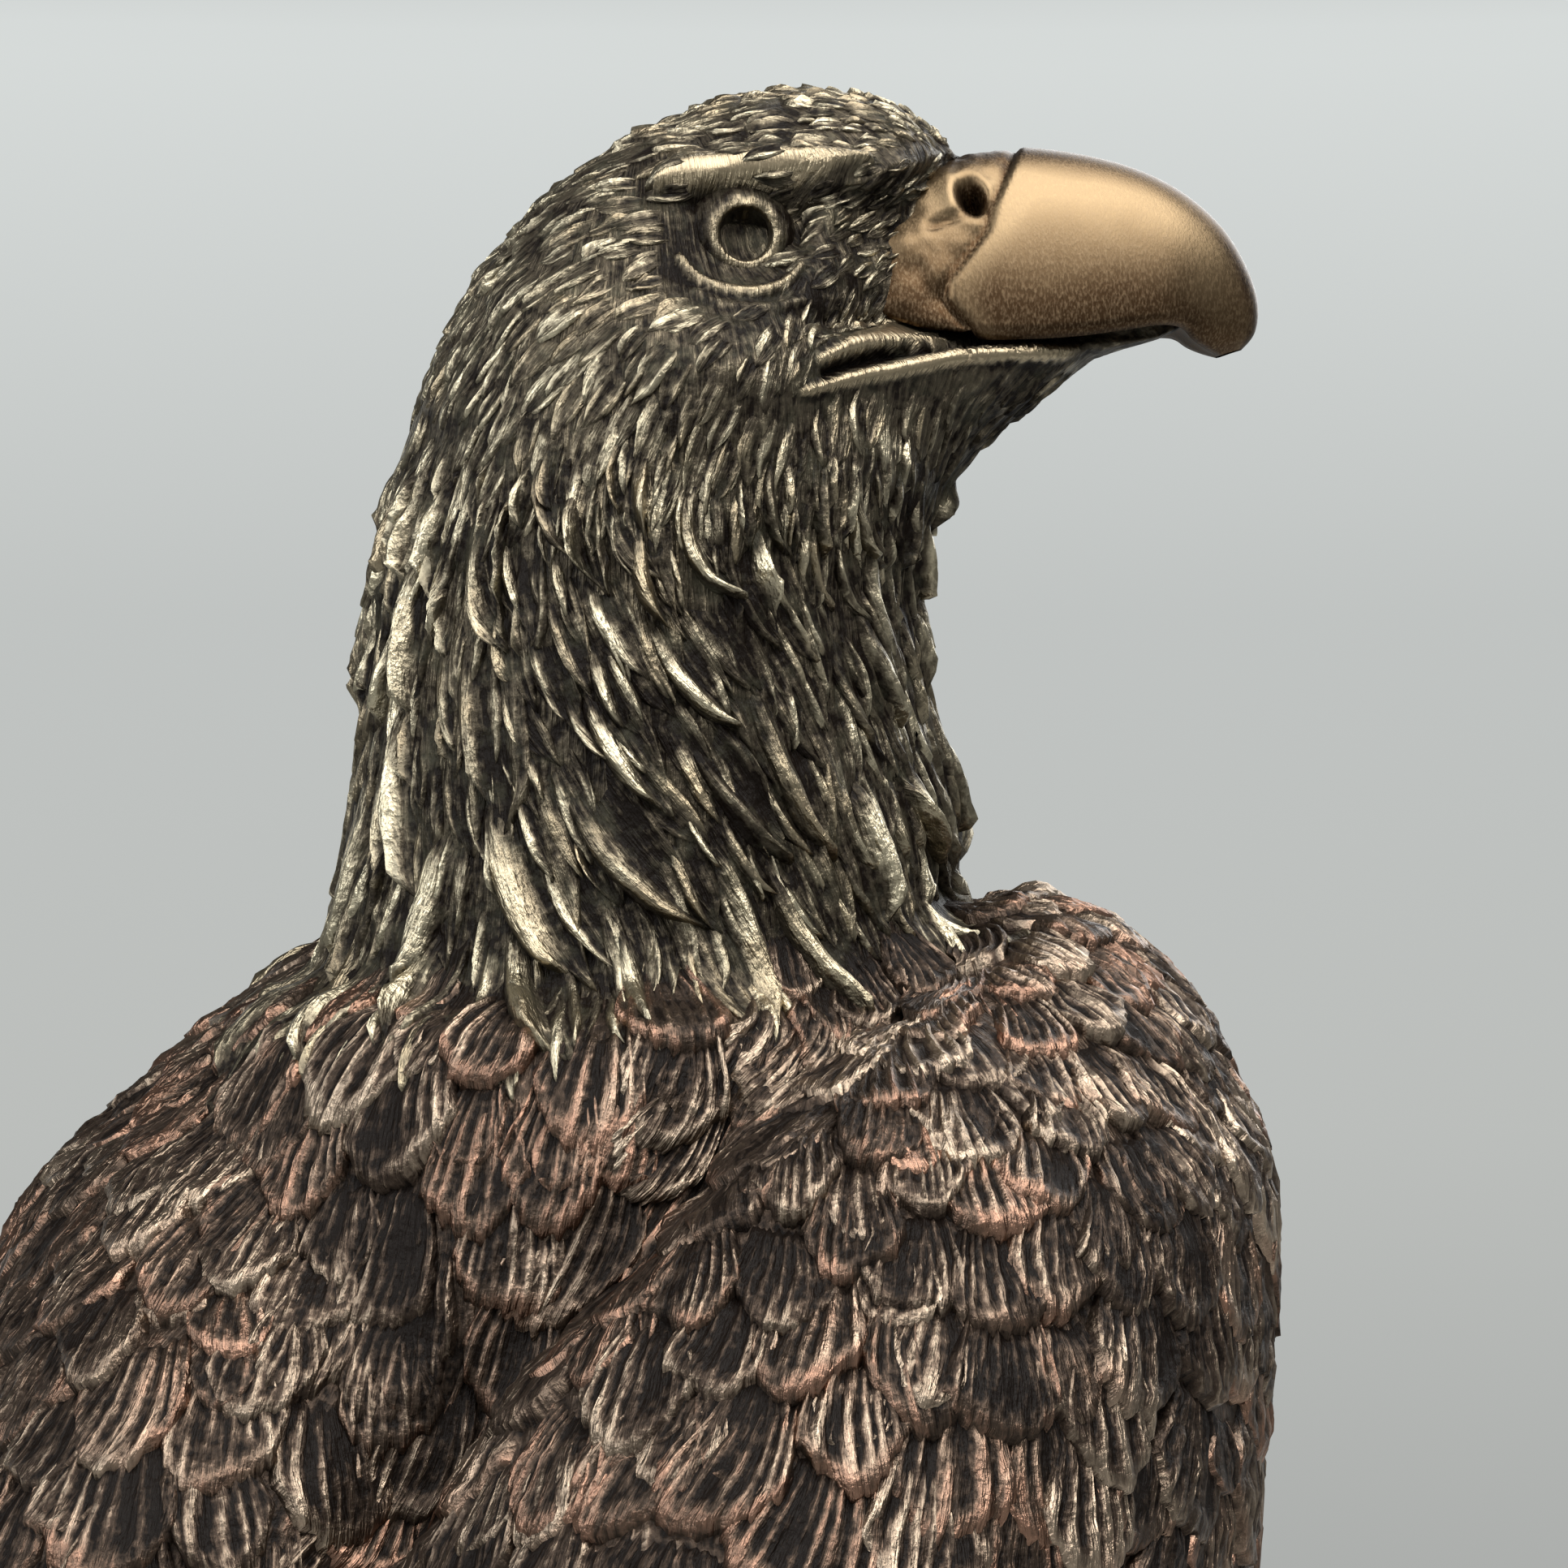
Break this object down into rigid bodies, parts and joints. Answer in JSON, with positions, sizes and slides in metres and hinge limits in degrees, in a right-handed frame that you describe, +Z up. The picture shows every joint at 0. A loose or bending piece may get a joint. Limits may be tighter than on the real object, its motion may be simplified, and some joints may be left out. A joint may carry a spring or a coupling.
{
  "type": "bronze eagle statuette",
  "caption": "Perched eagle statuette with folded wings and its head turned to its right, in patinated bronze on a rock and a round wooden plinth.",
  "frame": {"origin": "centre of the felt underside, on the surface the statuette stands on", "axes": "+Z up through the bird's height; the bird's breast faces -Y, its right side is -X and its head is turned to its own right"},
  "size_m": [0.15, 0.156, 0.2913],
  "materials": {
    "bronze": "dark brown antiqued bronze patina, high points rubbed back to pale gold and copper, semi-gloss",
    "steel": "plain zinc-plated steel",
    "walnut": "dark satin-lacquered walnut",
    "felt": "dark green felt"
  },
  "bodies": {
    "root": {"felt_pad": "felt", "head_and_neck": "bronze", "left_leg": "bronze", "left_leg_nut": "steel", "left_leg_stud": "steel", "left_leg_washer": "steel", "left_tail_pin": "steel", "left_wing": "bronze", "left_wing_pin_1": "steel", "left_wing_pin_2": "steel", "neck_pin_1": "steel", "neck_pin_2": "steel", "plinth": "walnut", "plinth_bolt_1": "steel", "plinth_bolt_2": "steel", "plinth_bolt_3": "steel", "plinth_washer_1": "steel", "plinth_washer_2": "steel", "plinth_washer_3": "steel", "right_leg": "bronze", "right_leg_nut": "steel", "right_leg_stud": "steel", "right_leg_washer": "steel", "right_tail_pin": "steel", "right_wing": "bronze", "right_wing_pin_1": "steel", "right_wing_pin_2": "steel", "rock": "bronze", "tail": "bronze", "torso": "bronze"}
  },
  "joints": []
}
